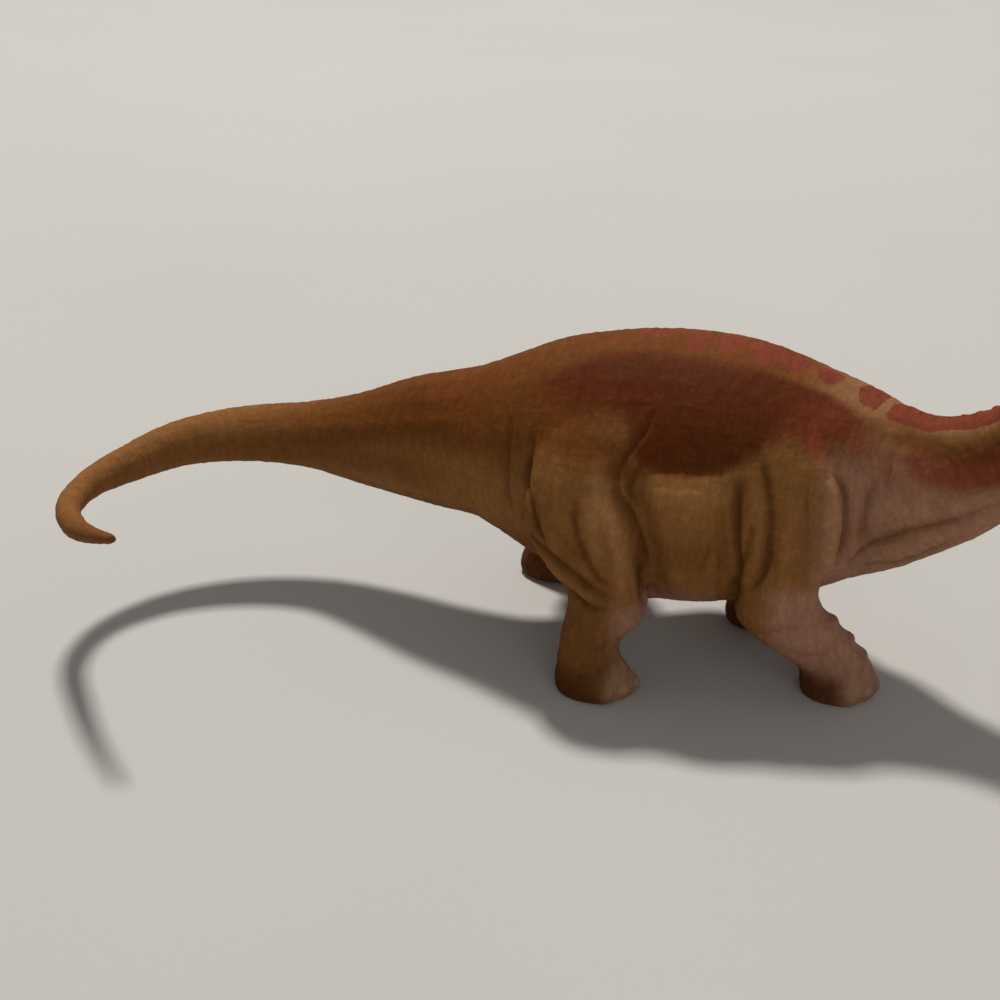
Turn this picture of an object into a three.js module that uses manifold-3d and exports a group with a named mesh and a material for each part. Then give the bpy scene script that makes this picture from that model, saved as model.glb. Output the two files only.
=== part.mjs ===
// Long-necked toy dinosaur, a walking sauropod about 22 cm long, in moulded soft vinyl.
// Eight moulded pieces plug together at seams that lie in the skin folds: torso, tail, neck,
// head and four legs. Nothing on it turns.
// Millimetres, +Z up, head toward +X, the animal's left side toward +Y, soles on Z = 0.

import * as THREE from 'three';
import { mergeVertices } from 'three/addons/utils/BufferGeometryUtils.js';
import Module from 'manifold-3d';

const wasm = await Module();
wasm.setup();

// Driving dimensions

const SEAM_GAP = 0.3;           // clearance left between two glued pieces
const TAIL_SEAM = 11.0;         // station where the tail meets the torso
const NECK_SEAM = 17.0;         // station where the neck meets the torso
const HEAD_SEAM = 23.0;         // station where the head meets the neck

const TAIL_PEG = { radius: 7.0, length: 9.0 };
const NECK_PEG = { radius: 5.0, length: 7.0 };
const HEAD_PEG = { radius: 2.6, length: 5.0 };
const HIND_PEG = { radius: 3.6, length: 5.0 };
const FORE_PEG = { radius: 3.0, length: 4.0 };
const LEG_PEG_HEIGHT = 42.0;    // height of the legs' pegs above the ground
const PEG_CHAMFER = 0.6;
const PEG_ROOT = 1.0;           // how far a peg runs back into its own piece

// The spine, from the tail tip to the muzzle: x, y, z of the centre, half width, half height
const SPINE = [
  [-95.8, -56.8, 38.7, 1.1, 1.1],     // 0 blunt tail tip
  [-104.2, -48.5, 34.9, 1.8, 1.8],
  [-113.2, -37.5, 30.6, 2.4, 2.4],
  [-120.6, -25.5, 28.7, 2.7, 2.7],
  [-122.0, -13.0, 28.3, 3.1, 3.2],    // 4 outermost point of the curl
  [-118.0, -2.0, 28.8, 4.0, 4.1],
  [-110.0, 7.5, 30.3, 5.1, 5.1],
  [-98.0, 13.8, 31.0, 6.1, 6.1],
  [-84.0, 15.6, 31.3, 7.1, 7.3],
  [-70.0, 12.2, 33.0, 9.2, 10.2],
  [-56.0, 7.2, 36.1, 11.4, 13.5],
  [-42.0, 3.4, 38.3, 13.9, 16.1],     // 11 tail seam
  [-28.0, 1.1, 39.0, 19.5, 22.2],
  [-14.0, 0.0, 39.0, 24.0, 25.3],
  [0.0, 0.0, 38.7, 25.5, 26.0],       // 14 deepest part of the belly
  [14.0, -1.6, 39.0, 23.5, 24.3],
  [27.0, -4.1, 40.3, 18.3, 19.5],
  [38.0, -8.0, 42.1, 12.0, 15.1],     // 17 neck seam
  [46.5, -10.9, 44.9, 9.0, 12.0],
  [54.5, -14.4, 50.6, 7.6, 9.5],
  [62.0, -19.0, 57.8, 6.7, 8.3],
  [69.0, -24.5, 66.0, 6.0, 7.3],
  [75.5, -31.0, 74.5, 5.3, 6.2],
  [81.0, -36.5, 81.0, 4.9, 5.4],      // 23 head seam
  [84.5, -40.0, 84.0, 5.1, 5.6],
  [88.0, -43.5, 85.2, 5.3, 5.8],      // 25 eyes
  [92.0, -47.2, 84.8, 4.4, 4.5],
  [96.0, -50.8, 83.4, 3.9, 3.6],
  [98.8, -53.4, 82.3, 2.7, 2.4],
  [99.8, -54.3, 81.9, 0.9, 0.8],      // 29 end of the muzzle
];

// How much narrower the body is along the back than along the belly, as a share of its width,
// and how much of a swelling's rise also goes down, on the lower side
const BACK_NARROWING = 0.07;
const SAG = 0.5;

// Soft forms pressed into the skin on both flanks: place, reach and rise of each swelling or fold
const FLANK_FORMS = [
  { x: -19, z: 50, reachX: 12, reachZ: 10, rise: 1.4 },     // hip bone
  { x: 20, z: 50, reachX: 9, reachZ: 9, rise: 1.0 },        // shoulder blade
  { x: -2, z: 27, reachX: 8, reachZ: 13, rise: 1.5 },       // belly between the legs
  { x: -3, z: 49, reachX: 13, reachZ: 6, rise: -0.8 },      // hollow above the belly
  { x: 8.2, z: 30, reachX: 1.9, reachZ: 13, rise: -1.8 },   // crease behind the foreleg
  { x: 11.2, z: 33, reachX: 2.2, reachZ: 12, rise: 0.5 },   // fold beside that crease
  { x: 33, z: 36, reachX: 3, reachZ: 9, rise: -1.0 },       // hollow in front of the shoulder
];

// A leg, from the sole up: x, distance from the spine's plane, z, half length, half width,
// and the share of its stance that the row follows
const HIND_LEG = [
  [-15.8, 24.4, 0.0, 7.2, 6.4, 1.0],
  [-15.8, 24.4, 2.2, 7.9, 7.0, 1.0],
  [-16.2, 24.8, 5.2, 6.9, 6.7, 0.97],
  [-17.0, 24.7, 9.0, 5.8, 5.9, 0.92],
  [-15.8, 24.6, 13.5, 6.3, 5.9, 0.82],
  [-13.6, 24.3, 18.6, 7.5, 6.6, 0.68],
  [-13.9, 23.8, 22.4, 8.0, 7.0, 0.58],
  [-15.8, 23.1, 26.2, 9.8, 7.5, 0.48],
  [-18.2, 21.2, 31.5, 11.3, 8.0, 0.33],
  [-18.8, 19.2, 39.0, 11.4, 8.0, 0.18],
  [-18.4, 17.0, 47.0, 9.8, 7.2, 0.05],
  [-17.2, 14.5, 53.0, 6.5, 5.2, 0.0],
  [-16.6, 13.5, 56.0, 2.0, 2.0, 0.0],
];
const FORE_LEG = [
  [29.4, 14.2, 0.0, 6.4, 6.0, 1.0],
  [29.4, 14.2, 2.2, 6.9, 6.6, 1.0],
  [28.9, 14.8, 6.2, 7.0, 6.3, 0.95],
  [24.3, 15.8, 10.8, 8.7, 6.5, 0.8],
  [20.2, 17.0, 15.5, 9.6, 6.8, 0.6],
  [17.5, 17.2, 20.5, 8.0, 6.9, 0.45],
  [18.2, 16.6, 26.0, 7.1, 6.7, 0.33],
  [20.2, 16.0, 33.0, 7.3, 6.5, 0.2],
  [20.9, 15.4, 40.0, 7.4, 6.5, 0.1],
  [20.9, 14.0, 46.0, 6.6, 6.0, 0.03],
  [20.5, 11.5, 51.0, 4.4, 4.8, 0.0],
  [20.3, 10.4, 53.5, 1.6, 2.2, 0.0],
];

// Toes: how many swellings go round the foot, how far they stand out as a share of its radius,
// and the height at which they fade
const TOES = { around: 5, swell: 0.09, height: 5.0 };

// Oval plug by which each leg drops into the side of the torso: centre, radii and inner face
const HIND_PLUG = { x: -17.6, z: 40.0, radiusX: 12.4, radiusZ: 18.5, inner: 9.5 };
const FORE_PLUG = { x: 20.6, z: 37.0, radiusX: 8.8, radiusZ: 17.0, inner: 6.5 };
const PLUG_REACH = 40.0;        // past the skin, from where the trunk's own skin closes the plug

// Stance: how far each foot is moved from the table's place, forward and outward
const LEGS = {
  hindleg_right: { rows: HIND_LEG, plug: HIND_PLUG, peg: HIND_PEG, side: -1, forward: 0, outward: -1.4 },
  hindleg_left: { rows: HIND_LEG, plug: HIND_PLUG, peg: HIND_PEG, side: 1, forward: -17.2, outward: 0.8 },
  foreleg_right: { rows: FORE_LEG, plug: FORE_PLUG, peg: FORE_PEG, side: -1, forward: -0.3, outward: -3.2 },
  foreleg_left: { rows: FORE_LEG, plug: FORE_PLUG, peg: FORE_PEG, side: 1, forward: -17.2, outward: 1.0 },
};

// Head: eyes under a brow, nostrils on top of the muzzle, and a closed mouth line. Places are a
// station along the spine, and millimetres out and up from it.
const EYE = { station: 25.1, out: 4.55, up: 1.7, radius: 1.55 };
const BROW = { station: 25.05, out: 3.9, up: 3.2, length: 2.7, width: 1.4, height: 1.2 };
const NOSTRIL = { station: 26.9, out: 1.9, up: 2.9, radius: 0.95, length: 1.33 };
// The mouth line runs from a station to past the muzzle. It lies lower where the jaw is wider.
const MOUTH = { from: 25.3, to: 29.6, drop: 0.3, width: 0.5, depth: 0.7 };
const JAW_CORE = { behind: 0.5, ahead: 0.3 };   // stations by which the uncut core passes the mouth

// How finely each skin is divided: rings along it, and points round each ring
const FINENESS = {
  torso: { rings: 36, around: 40 },
  tail: { rings: 42, around: 18 },
  neck: { rings: 24, around: 20 },
  head: { rings: 20, around: 18 },
  jaw: { rings: 8, around: 12 },
  mouth: { rings: 6 },
  leg: { rings: 24, around: 20 },
  plug: { around: 28 },
  peg: { around: 16 },
  blob: { rings: 6, around: 8 },
};

// Colours of the vinyl and its airbrushed paint
const SAND = 0xb98a4e;
const RUST = 0xa8613c;
const FOOT = 0xa9764c;

// Smooth tables

// Reads a table of rows at a position counted in rows, along a Catmull-Rom curve through them
function readTable(rows, position) {
  const last = rows.length - 1;
  const index = Math.max(0, Math.min(last - 1, Math.floor(position)));
  const f = position - index;
  const before = rows[Math.max(0, index - 1)];
  const start = rows[index];
  const end = rows[index + 1];
  const after = rows[Math.min(last, index + 2)];
  return start.map((value, column) => {
    const slopeIn = (end[column] - before[column]) / 2;
    const slopeOut = (after[column] - value) / 2;
    const rise = end[column] - value;
    const bend = 2 * slopeIn + slopeOut;
    return value + f * (slopeIn + f * (3 * rise - bend + f * (slopeIn + slopeOut - 2 * rise)));
  });
}

function bell(distance) {
  return Math.exp(-distance * distance);
}

// Centre and axes of the body at a station: side points to the animal's left, up to its back
function spineFrame(station) {
  const [x, y, z, halfWidth, halfHeight] = readTable(SPINE, station);
  const step = 0.05;
  const low = Math.max(0, station - step);
  const high = Math.min(SPINE.length - 1, station + step);
  const ahead = new THREE.Vector3(...readTable(SPINE, high).slice(0, 3));
  const tangent = ahead.sub(new THREE.Vector3(...readTable(SPINE, low).slice(0, 3))).normalize();
  const side = new THREE.Vector3(0, 0, 1).cross(tangent).normalize();
  const up = tangent.clone().cross(side);
  return { centre: new THREE.Vector3(x, y, z), tangent, side, up, halfWidth, halfHeight };
}

// Closed skin

// Joins rings of equal count into one closed body, with a flat fan over each end
function closedLoft(rings) {
  const around = rings[0].length;
  const positions = [];
  for (const ring of rings) {
    for (const point of ring) {
      positions.push(point.x, point.y, point.z);
    }
  }
  const faces = [];
  for (let r = 0; r < rings.length - 1; r++) {
    for (let k = 0; k < around; k++) {
      const a = r * around + k;
      const b = r * around + (k + 1) % around;
      faces.push(a, b, a + around, b, b + around, a + around);
    }
  }
  for (const [r, flip] of [[0, false], [rings.length - 1, true]]) {
    const middle = new THREE.Vector3();
    rings[r].forEach(point => middle.add(point));
    middle.divideScalar(around);
    const hub = positions.length / 3;
    positions.push(middle.x, middle.y, middle.z);
    for (let k = 0; k < around; k++) {
      const a = r * around + k;
      const b = r * around + (k + 1) % around;
      faces.push(...(flip ? [hub, a, b] : [hub, b, a]));
    }
  }
  return toSolid(positions, insideOut(positions, faces) ? faces.reverse() : faces);
}

// A skin whose rings run the other way round encloses a negative volume
function insideOut(positions, faces) {
  const corner = index => new THREE.Vector3().fromArray(positions, 3 * index);
  let volume = 0;
  for (let i = 0; i < faces.length; i += 3) {
    volume += corner(faces[i]).dot(corner(faces[i + 1]).cross(corner(faces[i + 2])));
  }
  return volume < 0;
}

function toSolid(positions, faces) {
  return new wasm.Manifold(new wasm.Mesh({
    numProp: 3,
    vertProperties: new Float32Array(positions),
    triVerts: new Uint32Array(faces),
  }));
}

function toGeometry(solid) {
  const mesh = solid.getMesh();
  const geometry = new THREE.BufferGeometry();
  geometry.setAttribute('position', new THREE.BufferAttribute(mesh.vertProperties, 3));
  geometry.setIndex(new THREE.BufferAttribute(mesh.triVerts, 1));
  geometry.computeVertexNormals();
  return geometry;
}

// A round peg, closed at both ends, from a point along a direction
function peg(from, direction, radius, length) {
  const { around } = FINENESS.peg;
  const turn = new THREE.Quaternion().setFromUnitVectors(new THREE.Vector3(0, 0, 1), direction);
  const ring = (height, r) => Array.from({ length: around }, (_, k) => {
    const angle = 2 * Math.PI * k / around;
    const point = new THREE.Vector3(r * Math.cos(angle), r * Math.sin(angle), height);
    return point.applyQuaternion(turn).add(from);
  });
  return closedLoft([
    ring(0, radius),
    ring(length - PEG_CHAMFER, radius),
    ring(length, radius - PEG_CHAMFER),
  ]);
}

// Body, neck and tail

// One ring of the skin: narrower along the back, fuller below, with the flank forms pressed in
function bodyRing(station, around, grow = 0) {
  const { centre, side, up, halfWidth, halfHeight } = spineFrame(station);
  const ring = [];
  for (let k = 0; k < around; k++) {
    const angle = 2 * Math.PI * k / around;
    const across = Math.sin(angle);
    const upward = Math.cos(angle);
    const fullness = 1 - BACK_NARROWING * upward;
    const point = centre.clone()
      .addScaledVector(side, (halfWidth * fullness + grow) * across)
      .addScaledVector(up, (halfHeight + grow) * upward);
    let rise = 0;
    for (const form of FLANK_FORMS) {
      rise += form.rise * bell((point.x - form.x) / form.reachX) * bell((point.z - form.z) / form.reachZ);
    }
    point.addScaledVector(side, rise * across).addScaledVector(up, SAG * rise * Math.min(0, upward));
    ring.push(point);
  }
  return ring;
}

function bodyLoft(fromStation, toStation, rings, around, grow = 0) {
  return closedLoft(Array.from({ length: rings }, (_, r) => {
    return bodyRing(fromStation + (toStation - fromStation) * r / (rings - 1), around, grow);
  }));
}

// Distance between stations, so that a gap in millimetres can be given in stations
function stationLength(station) {
  const step = 0.1;
  return spineFrame(station + step).centre.distanceTo(spineFrame(station - step).centre) / (2 * step);
}

// The seam at a station: where it lies, and the stations half a gap to either side of it
function seam(station) {
  const half = SEAM_GAP / 2 / stationLength(station);
  return { behind: station - half, ahead: station + half, ...spineFrame(station) };
}

// Legs

// One ring of a leg. Low rings swell into toes at the front of the foot.
function legRing(leg, position, grow, around) {
  const [x, out, z, halfLength, halfWidth, share] = readTable(leg.rows, position);
  const spineY = spineNear(leg.plug.x).y;
  const ring = [];
  const footShare = bell(z / TOES.height);
  for (let k = 0; k < around; k++) {
    const angle = 2 * Math.PI * k / around;
    const front = Math.max(0, Math.cos(angle));
    const toes = 1 + TOES.swell * footShare * front * Math.cos(TOES.around * angle);
    ring.push(new THREE.Vector3(
      x + leg.forward * share + (halfLength + grow) * toes * Math.cos(angle),
      spineY + leg.side * (out + leg.outward * share) + (halfWidth + grow) * toes * Math.sin(angle),
      z));
  }
  return ring;
}

function spineNear(x) {
  let nearest = spineFrame(TAIL_SEAM).centre;
  for (let station = TAIL_SEAM; station <= NECK_SEAM; station += 0.05) {
    const { centre } = spineFrame(station);
    if (Math.abs(centre.x - x) < Math.abs(nearest.x - x)) {
      nearest = centre;
    }
  }
  return nearest;
}

function legLoft(leg, grow) {
  const { rings, around } = FINENESS.leg;
  const list = Array.from({ length: rings }, (_, r) => {
    return legRing(leg, (leg.rows.length - 1) * r / (rings - 1), grow, around);
  });
  if (grow > 0) {
    list[list.length - 1].forEach(point => { point.z += grow; });
  }
  return closedLoft(list);
}

// Oval plug, from its inner face out past the skin
function legPlug(leg, grow) {
  const { around } = FINENESS.plug;
  const spineY = spineNear(leg.plug.x).y;
  const ring = out => Array.from({ length: around }, (_, k) => {
    const angle = -leg.side * 2 * Math.PI * k / around;
    return new THREE.Vector3(
      leg.plug.x + (leg.plug.radiusX + grow) * Math.cos(angle),
      spineY + leg.side * out,
      leg.plug.z + (leg.plug.radiusZ + grow) * Math.sin(angle));
  });
  return closedLoft([ring(leg.plug.inner - grow), ring(PLUG_REACH)]);
}

function legPeg(leg, grow) {
  const spineY = spineNear(leg.plug.x).y;
  const rootY = spineY + leg.side * (leg.plug.inner + PEG_ROOT);
  const from = new THREE.Vector3(leg.plug.x, rootY, LEG_PEG_HEIGHT);
  const inward = new THREE.Vector3(0, -leg.side, 0);
  return peg(from, inward, leg.peg.radius + grow, leg.peg.length + PEG_ROOT + grow);
}

// Assembly

const tailSeam = seam(TAIL_SEAM);
const neckSeam = seam(NECK_SEAM);
const headSeam = seam(HEAD_SEAM);

function plugPeg(at, direction, size, grow) {
  const root = at.centre.clone().addScaledVector(direction, -PEG_ROOT);
  return peg(root, direction, size.radius + grow, size.length + PEG_ROOT + grow);
}

const forward = at => at.tangent.clone();
const backward = at => at.tangent.clone().negate();

const trunk = bodyLoft(tailSeam.ahead, neckSeam.behind, FINENESS.torso.rings, FINENESS.torso.around);

function makeLeg(leg) {
  return trunk.intersect(legPlug(leg, 0)).add(legLoft(leg, 0)).add(legPeg(leg, 0));
}

function makeTorso() {
  let torso = trunk;
  for (const leg of Object.values(LEGS)) {
    torso = torso.subtract(legPlug(leg, SEAM_GAP));
    torso = torso.subtract(legLoft(leg, SEAM_GAP));
    torso = torso.subtract(legPeg(leg, SEAM_GAP));
  }
  torso = torso.subtract(plugPeg(tailSeam, forward(tailSeam), TAIL_PEG, SEAM_GAP));
  return torso.subtract(plugPeg(neckSeam, backward(neckSeam), NECK_PEG, SEAM_GAP));
}

function makeTail() {
  const tail = bodyLoft(0, tailSeam.behind, FINENESS.tail.rings, FINENESS.tail.around);
  return tail.add(plugPeg(tailSeam, forward(tailSeam), TAIL_PEG, 0));
}

function makeNeck() {
  const neck = bodyLoft(neckSeam.ahead, headSeam.behind, FINENESS.neck.rings, FINENESS.neck.around);
  return neck.add(plugPeg(neckSeam, backward(neckSeam), NECK_PEG, 0))
    .subtract(plugPeg(headSeam, backward(headSeam), HEAD_PEG, SEAM_GAP));
}

// An ellipsoid set in the skin at a station: out to one side and up from the spine
function blob(station, sideways, upward, length, width, height) {
  const { centre, tangent, side, up } = spineFrame(station);
  const geometry = new THREE.SphereGeometry(1, FINENESS.blob.around, FINENESS.blob.rings);
  geometry.deleteAttribute('normal');
  geometry.deleteAttribute('uv');
  const merged = mergeVertices(geometry);
  const place = new THREE.Matrix4().makeBasis(tangent, side, up);
  place.setPosition(centre.addScaledVector(side, sideways).addScaledVector(up, upward));
  merged.applyMatrix4(place.scale(new THREE.Vector3(length, width, height)));
  return toSolid(merged.attributes.position.array, merged.index.array);
}

// A thin flat sheet through the jaws, which leaves a groove where it passes the skin
function mouthSheet() {
  const { rings } = FINENESS.mouth;
  const muzzleEnd = SPINE.length - 1;
  const pastSkin = 2;
  const pastMuzzle = 4;
  return closedLoft(Array.from({ length: rings }, (_, r) => {
    const station = MOUTH.from + (MOUTH.to - MOUTH.from) * r / (rings - 1);
    const { centre, tangent, side, up, halfWidth } = spineFrame(Math.min(station, muzzleEnd));
    const beyond = Math.max(0, station - muzzleEnd);
    const corners = [[1, 1], [-1, 1], [-1, -1], [1, -1]];
    return corners.map(([across, upward]) => centre.clone()
      .addScaledVector(tangent, pastMuzzle * beyond)
      .addScaledVector(side, across * (halfWidth + pastSkin))
      .addScaledVector(up, -MOUTH.drop * halfWidth + upward * MOUTH.width / 2));
  }));
}

function makeHead() {
  const last = SPINE.length - 1;
  let head = bodyLoft(headSeam.ahead, last, FINENESS.head.rings, FINENESS.head.around);
  const { rings, around } = FINENESS.jaw;
  const coreStart = MOUTH.from - JAW_CORE.behind;
  const inside = bodyLoft(coreStart, last - JAW_CORE.ahead, rings, around, -MOUTH.depth);
  head = head.subtract(mouthSheet().subtract(inside));
  for (const side of [1, -1]) {
    const { length, width, height } = BROW;
    head = head.add(blob(EYE.station, side * EYE.out, EYE.up, EYE.radius, EYE.radius, EYE.radius));
    head = head.add(blob(BROW.station, side * BROW.out, BROW.up, length, width, height));
    const { radius } = NOSTRIL;
    head = head.add(blob(NOSTRIL.station, side * NOSTRIL.out, NOSTRIL.up, NOSTRIL.length, radius, radius));
  }
  return head.add(plugPeg(headSeam, backward(headSeam), HEAD_PEG, 0));
}

const figure = new THREE.Group();

function addPiece(name, solid, color) {
  const material = new THREE.MeshStandardMaterial({ color, roughness: 0.55, metalness: 0 });
  const mesh = new THREE.Mesh(toGeometry(solid), material);
  mesh.name = name;
  figure.add(mesh);
}

addPiece('torso', makeTorso(), RUST);
addPiece('tail', makeTail(), SAND);
addPiece('neck', makeNeck(), SAND);
addPiece('head', makeHead(), SAND);
for (const [name, leg] of Object.entries(LEGS)) {
  addPiece(name, makeLeg(leg), FOOT);
}

// The origin is the middle of the ground under the whole figure
const box = new THREE.Box3().setFromObject(figure);
const middle = box.getCenter(new THREE.Vector3());
figure.position.set(-middle.x, -middle.y, -box.min.z);
figure.updateMatrixWorld(true);

export default figure;
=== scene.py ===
import math

import bmesh
import bpy
import numpy as np
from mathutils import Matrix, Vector
from mathutils.bvhtree import BVHTree


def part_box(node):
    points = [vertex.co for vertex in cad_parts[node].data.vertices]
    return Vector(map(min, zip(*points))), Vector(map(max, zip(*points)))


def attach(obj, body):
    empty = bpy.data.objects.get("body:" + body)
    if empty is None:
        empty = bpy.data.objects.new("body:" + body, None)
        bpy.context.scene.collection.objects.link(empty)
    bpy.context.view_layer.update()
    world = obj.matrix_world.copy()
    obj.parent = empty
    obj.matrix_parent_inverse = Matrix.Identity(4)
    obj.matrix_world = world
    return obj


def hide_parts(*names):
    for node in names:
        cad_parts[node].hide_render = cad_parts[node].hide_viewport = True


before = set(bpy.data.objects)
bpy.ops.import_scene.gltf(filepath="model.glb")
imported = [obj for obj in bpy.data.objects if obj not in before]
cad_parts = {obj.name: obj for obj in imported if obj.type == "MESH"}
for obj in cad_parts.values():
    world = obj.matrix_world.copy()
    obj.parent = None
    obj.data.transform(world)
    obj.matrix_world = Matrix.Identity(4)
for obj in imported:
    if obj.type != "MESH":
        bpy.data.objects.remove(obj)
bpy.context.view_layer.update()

# Stage and camera
# A plain pale tabletop, seen from the figure's right side and a little above. The light is soft and
# comes from above and behind, so the back is bright and the near side lies in mild shade.

mm = 0.001
torso_low, torso_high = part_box("torso")
torso_middle = (torso_low + torso_high) / 2

CAMERA_PLACE = Vector((31.45, -303.0, 127.0)) * mm
LOOK_DOWN, LOOK_LEFT = 24, 13


def add_object(name, data):
    """An object that holds the data, at the origin of the scene."""
    made = bpy.data.objects.new(name, data)
    bpy.context.scene.collection.objects.link(made)
    return made


camera_data = bpy.data.cameras.new("camera")
camera_data.lens = 61.2
camera_data.sensor_width = 36.0
camera = add_object("camera", camera_data)
camera.location = torso_middle + CAMERA_PLACE
camera.rotation_euler = (math.radians(90 - LOOK_DOWN), 0, math.radians(LOOK_LEFT))
bpy.context.scene.camera = camera
bpy.context.scene.view_settings.view_transform = "Standard"


def node(tree, kind, inputs=None, **settings):
    """Adds a node, sets it up, and fills its inputs with values or with other nodes' outputs."""
    made = tree.nodes.new(kind)
    for name, value in settings.items():
        setattr(made, name, value)
    for socket, value in (inputs or {}).items():
        if isinstance(value, bpy.types.NodeSocket):
            tree.links.new(value, made.inputs[socket])
        else:
            made.inputs[socket].default_value = value
    return made


def mixed_color(tree, share, under, over):
    """One colour laid over another. The Mix node keeps its colours in sockets 6 and 7."""
    return node(tree, "ShaderNodeMix", {0: share, 6: under, 7: over}, data_type="RGBA").outputs[2]


def blank_material(name):
    material = bpy.data.materials.new(name)
    material.use_nodes = True
    material.node_tree.nodes.clear()
    return material, material.node_tree


def finish_material(tree, shader):
    node(tree, "ShaderNodeOutputMaterial", {"Surface": shader.outputs[0]})


HALF_FLOOR = 3.0
PAPER_TONES = (0.49, 0.475, 0.445, 1), (0.53, 0.515, 0.485, 1)
CORNERS = (-1, -1), (1, -1), (1, 1), (-1, 1)
floor_mesh = bpy.data.meshes.new("tabletop")
floor_mesh.from_pydata(
    [(x * HALF_FLOOR, y * HALF_FLOOR, 0) for x, y in CORNERS], [], [(0, 1, 2, 3)])
tabletop = add_object("tabletop", floor_mesh)
paper, paper_tree = blank_material("pale_paper")
paper_place = node(paper_tree, "ShaderNodeTexCoord").outputs["Object"]
paper_cloud = node(paper_tree, "ShaderNodeTexNoise", {"Vector": paper_place, "Scale": 6.0})
finish_material(paper_tree, node(paper_tree, "ShaderNodeBsdfPrincipled", {
    "Base Color": mixed_color(paper_tree, paper_cloud.outputs[0], *PAPER_TONES),
    "Roughness": 0.9, "Specular IOR Level": 0.1}))
floor_mesh.materials.append(paper)

world = bpy.data.worlds.new("studio")
world.use_nodes = True
studio_light = world.node_tree.nodes["Background"].inputs
studio_light["Color"].default_value = (0.96, 0.98, 1.0, 1)
studio_light["Strength"].default_value = 0.24
bpy.context.scene.world = world


def area_lamp(name, place, size, power, color):
    """A soft square lamp that faces the middle of the torso."""
    lamp = bpy.data.lights.new(name, "AREA")
    lamp.size = size
    lamp.energy = power
    lamp.color = color
    made = add_object(name, lamp)
    made.location = torso_middle + Vector(place)
    made.rotation_euler = (-Vector(place)).to_track_quat("-Z", "Y").to_euler()


area_lamp("window", (-0.45, 1.00, 2.28), 0.30, 60.0, (1.0, 0.97, 0.93))
area_lamp("near_fill", (0.9, -2.2, 1.1), 1.6, 10.5, (1.0, 0.98, 0.95))

# Skin
# The figure is cast in soft vinyl in eight plugs, glued together with the seams lost in the skin
# folds. So the skin is shaped as one: the solids are joined, smoothed, folded and wrinkled, and
# only then parted again along the seams.

# The solids grow by a little over half the glue gap, so that they meet. The skin's faces are as
# wide as its grain, and the rounds of smoothing soften the rings of the solids.
GLUE_GAP = 0.3 * mm
GROWTH = 0.65 * GLUE_GAP
WELD = 0.001 * mm
SKIN_GRAIN = 0.4 * mm
SMOOTHING_ROUNDS = 28

# The deepest part of the belly is the zero of every place on the skin below, given in millimetres
# as forward, left and up.
RUMP_TO_BELLY = 45.1 * mm
belly = Vector((torso_low.x + RUMP_TO_BELLY, (torso_low.y + torso_high.y) / 2, 0))


def merged_copy(mesh):
    copy = bmesh.new()
    copy.from_mesh(mesh)
    bmesh.ops.remove_doubles(copy, verts=copy.verts, dist=WELD)
    copy.normal_update()
    return copy


solids = bmesh.new()
solid_names = sorted(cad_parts)
solid_of_face = []
grown = bmesh.new()
for index, name in enumerate(solid_names):
    copy = merged_copy(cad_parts[name].data)
    step = bpy.data.meshes.new("step")
    copy.to_mesh(step)
    solids.from_mesh(step)
    solid_of_face += [index] * (len(solids.faces) - len(solid_of_face))
    for vertex in copy.verts:
        vertex.co += vertex.normal * GROWTH
    copy.to_mesh(step)
    grown.from_mesh(step)
    bpy.data.meshes.remove(step)
    copy.free()
solids.faces.ensure_lookup_table()
nearest_solid = BVHTree.FromBMesh(solids)

joined_mesh = bpy.data.meshes.new("joined_skin")
grown.to_mesh(joined_mesh)
grown.free()
joined = add_object("joined_skin", joined_mesh)
remesh = joined.modifiers.new("one_skin", "REMESH")
remesh.mode = "VOXEL"
remesh.voxel_size = SKIN_GRAIN
remesh.use_smooth_shade = True
smooth = joined.modifiers.new("soften", "SMOOTH")
smooth.factor = 0.5
smooth.iterations = SMOOTHING_ROUNDS


def baked_mesh(thing):
    """The thing's mesh with its modifiers applied."""
    graph = bpy.context.evaluated_depsgraph_get()
    return bpy.data.meshes.new_from_object(thing.evaluated_get(graph))


def read_vectors(points, key):
    values = np.empty(3 * len(points), np.float32)
    points.foreach_get(key, values)
    return values.reshape(-1, 3).astype(float)


skin_mesh = baked_mesh(joined)
bpy.data.objects.remove(joined)
skin = add_object("skin", skin_mesh)

# Zero is the belly on the table, and the growth is taken back
zero = np.array(belly)
normal = read_vectors(skin_mesh.vertex_normals, "vector")
place = (read_vectors(skin_mesh.vertices, "co") - normal * GROWTH - zero) / mm
place[:, 2] = np.maximum(place[:, 2], 0)
settled = place.copy()  # where the solids lie, before folds and wrinkles


def ease(low, high, value):
    """Rises smoothly from 0 at low to 1 at high."""
    share = np.clip((value - low) / (high - low), 0, 1)
    return share * share * (3 - 2 * share)


def span(value, start, full_start, full_end, end):
    """1 between the two middle places, and falls smoothly to 0 at the outer two."""
    return ease(start, full_start, value) * ease(end, full_end, value)


def bell(value):
    """1 at 0, and falls off on both sides, to a third at 1 and to nothing at 2."""
    return np.exp(-value * value)


def smooth_line(points, steps=6):
    """Points along a smooth curve through the given ones, so many steps from each to the next."""
    given = np.array(points, float)
    ends = np.vstack([2 * given[0] - given[1], given, 2 * given[-1] - given[-2]])
    t = np.linspace(0, 1, steps, endpoint=False)[:, None]
    spans = []
    for a, b, c, d in zip(ends[:-3], ends[1:-2], ends[2:-1], ends[3:]):
        bend = 2 * a - 5 * b + 4 * c - d + t * (3 * b - a - 3 * c + d)
        spans.append(b + 0.5 * t * (c - a + t * bend))
    return np.vstack([*spans, given[-1:]])


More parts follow.
